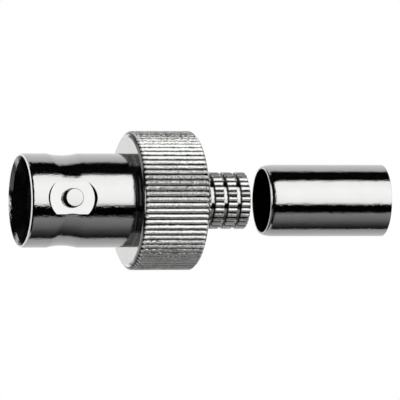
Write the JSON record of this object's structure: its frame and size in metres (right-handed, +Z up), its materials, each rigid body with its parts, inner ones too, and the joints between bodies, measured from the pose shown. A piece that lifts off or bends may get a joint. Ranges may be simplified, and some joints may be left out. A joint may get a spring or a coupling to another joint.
{
  "type": "coaxial connector",
  "caption": "Bayonet coaxial cable jack: polished nickel socket tube with side lugs, straight-knurled ring, toothed crimp neck and loose crimp ferrule, joins a coaxial cable to a plug.",
  "frame": {"origin": "centre of the mating face, on the axis", "axes": "+X along the axis from the mating face to the cable end, lugs along +Y and -Y, +Z up"},
  "size_m": [0.0388, 0.0142, 0.0142],
  "materials": {
    "nickel": "polished nickel plating",
    "ptfe": "machined PTFE, waxy matt",
    "gold": "gold plating"
  },
  "bodies": {
    "jack": {"body_shell": "nickel", "crimp_neck": "nickel", "front_insulator": "ptfe", "rear_insulator": "ptfe", "centre_contact": "gold"},
    "ferrule": {"crimp_ferrule": "nickel"}
  },
  "joints": [
    {"name": "ferrule_slide", "type": "slide", "parent": "jack", "child": "ferrule", "axis": [-1, 0, 0], "range_m": [0, 0.00735]}
  ]
}
